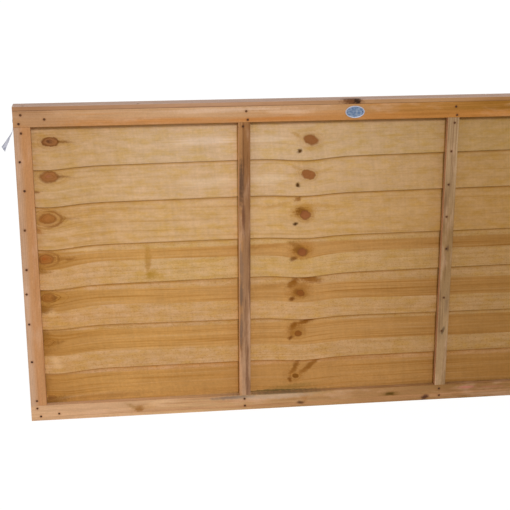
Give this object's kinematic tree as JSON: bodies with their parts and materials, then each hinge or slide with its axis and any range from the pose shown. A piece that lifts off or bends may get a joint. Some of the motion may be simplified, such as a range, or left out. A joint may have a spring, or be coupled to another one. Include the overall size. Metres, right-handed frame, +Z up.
{
  "type": "lap fence panel",
  "caption": "Framed timber fence panel of overlapping wavy-edged slats nailed between two frames, under a flat capping strip.",
  "frame": {"origin": "middle of the panel's foot: half way along, half way through, at the underside of the bottom rails", "axes": "+X along the panel to the right seen from the front, +Y from the front face to the back, +Z up"},
  "size_m": [1.8674, 0.052, 0.912],
  "materials": {
    "frame_timber": "sawn, dip treated",
    "slat_timber": "sawn, dip treated",
    "cap_timber": "sawn, greyed on top",
    "nail_steel": "plain steel, rusted dark",
    "plate_metal": "satin, plain",
    "tag_paper": "waxed paper",
    "staple_steel": "galvanised"
  },
  "bodies": {
    "root": {"batten_nails": "nail_steel", "bottom_rail_front": "frame_timber", "bottom_rail_rear": "frame_timber", "cap_nails": "nail_steel", "cap_strip": "cap_timber", "end_tag": "tag_paper", "left_batten_front": "frame_timber", "left_batten_rear": "frame_timber", "left_stile_front": "frame_timber", "left_stile_rear": "frame_timber", "oval_plate": "plate_metal", "rail_nails": "nail_steel", "rear_batten_nails": "nail_steel", "right_batten_front": "frame_timber", "right_batten_rear": "frame_timber", "right_stile_front": "frame_timber", "right_stile_rear": "frame_timber", "slat_1": "slat_timber", "slat_2": "slat_timber", "slat_3": "slat_timber", "slat_4": "slat_timber", "slat_5": "slat_timber", "slat_6": "slat_timber", "slat_7": "slat_timber", "stile_nails": "nail_steel", "tag_staples": "staple_steel", "top_rail_front": "frame_timber", "top_rail_rear": "frame_timber"}
  },
  "joints": []
}
